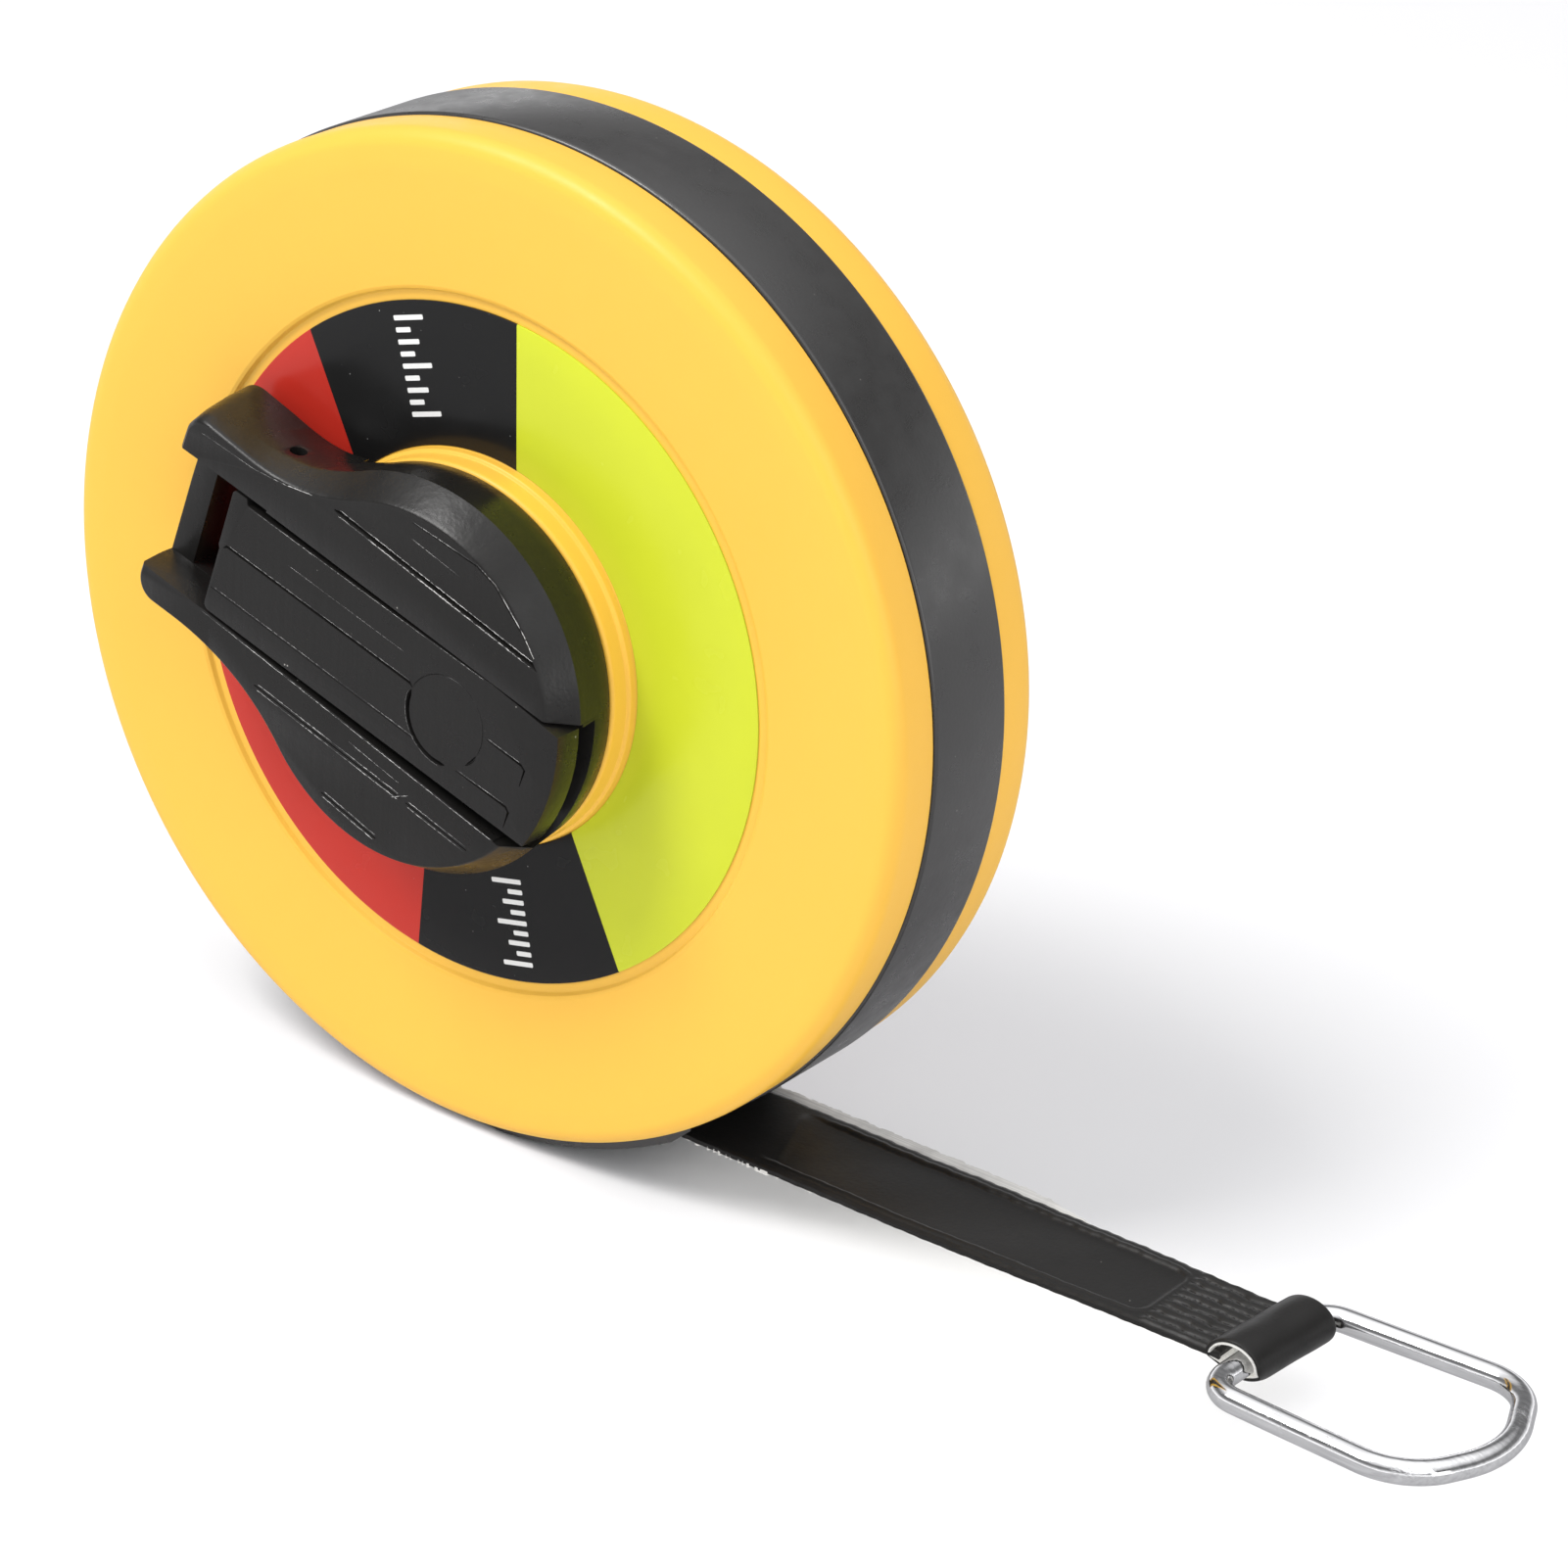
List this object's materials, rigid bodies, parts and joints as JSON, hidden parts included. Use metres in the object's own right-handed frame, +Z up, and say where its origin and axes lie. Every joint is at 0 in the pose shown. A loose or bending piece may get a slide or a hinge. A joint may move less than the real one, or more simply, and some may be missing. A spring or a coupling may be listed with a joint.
{
  "type": "surveyor tape reel",
  "caption": "Closed round measuring tape reel with two moulded shells, a dark rim band, a folding crank with stowed knob, and a blade leader ending in a loop and wire ring.",
  "frame": {"origin": "on the reel axis, in the plane of the rear face", "axes": "+Y out of the rear face along the reel axis, crank on the -Y side; +Z up; +X the way the blade leaves at the bottom"},
  "size_m": [0.1633, 0.0321, 0.1004],
  "materials": {
    "case_yellow": "semi-gloss moulded ABS, warm yellow",
    "band_black": "satin black",
    "label_print": "printed film in yellow-green, red and dark sectors",
    "crank_black": "satin black moulded plastic",
    "drum_black": "matte",
    "bush_white": "natural acetal",
    "steel": "zinc plated",
    "blade_glass": "pale fibreglass-reinforced PVC",
    "vinyl_black": "soft satin vinyl",
    "ring_chrome": "bright nickel-chrome plated wire"
  },
  "bodies": {
    "case": {"front_shell": "case_yellow", "rear_shell": "case_yellow", "rim_band": "band_black", "mouth_guide": "band_black", "front_label": "label_print", "axle_bush": "bush_white", "axle_washer": "steel", "axle_screw": "steel"},
    "reel": {"drum": "drum_black", "front_flange": "drum_black", "wound_blade": "blade_glass", "blade_anchor": "steel", "crank_arm": "crank_black", "crank_screws": "steel", "hinge_pin": "steel"},
    "lever": {"flip_lever": "crank_black", "knob_spindle": "crank_black", "spindle_clip": "steel"},
    "knob_body": {"knob": "crank_black"},
    "tape_end": {"leader_cover": "vinyl_black", "blade_end": "blade_glass", "end_loop": "vinyl_black"},
    "ring": {"end_ring": "ring_chrome"}
  },
  "joints": [
    {"name": "drum_spin", "type": "hinge", "parent": "case", "child": "reel", "pos_m": [0, 0, 0], "axis": [0, 1, 0], "range_deg": [-15, 35]},
    {"name": "tape_slide", "type": "slide", "parent": "case", "child": "tape_end", "axis": [1, 0, 0], "range_m": [-0.0275, 0.012]},
    {"name": "lever_fold", "type": "hinge", "parent": "reel", "child": "lever", "pos_m": [-0.01918, -0.0298, 0.00568], "axis": [-0.284, 0, -0.9588], "range_deg": [0, 180]},
    {"name": "knob_spin", "type": "hinge", "parent": "lever", "child": "knob_body", "pos_m": [0.00605, -0.023, -0.00192], "axis": [0, -1, 0], "continuous": true},
    {"name": "ring_swing", "type": "hinge", "parent": "tape_end", "child": "ring", "pos_m": [0.0871, -0.01105, -0.04462], "axis": [0, 1, 0], "range_deg": [-165, 165]}
  ],
  "couplings": [
    {"joint": "tape_slide", "follows": "drum_spin", "m_per_rad": -0.0442}
  ]
}
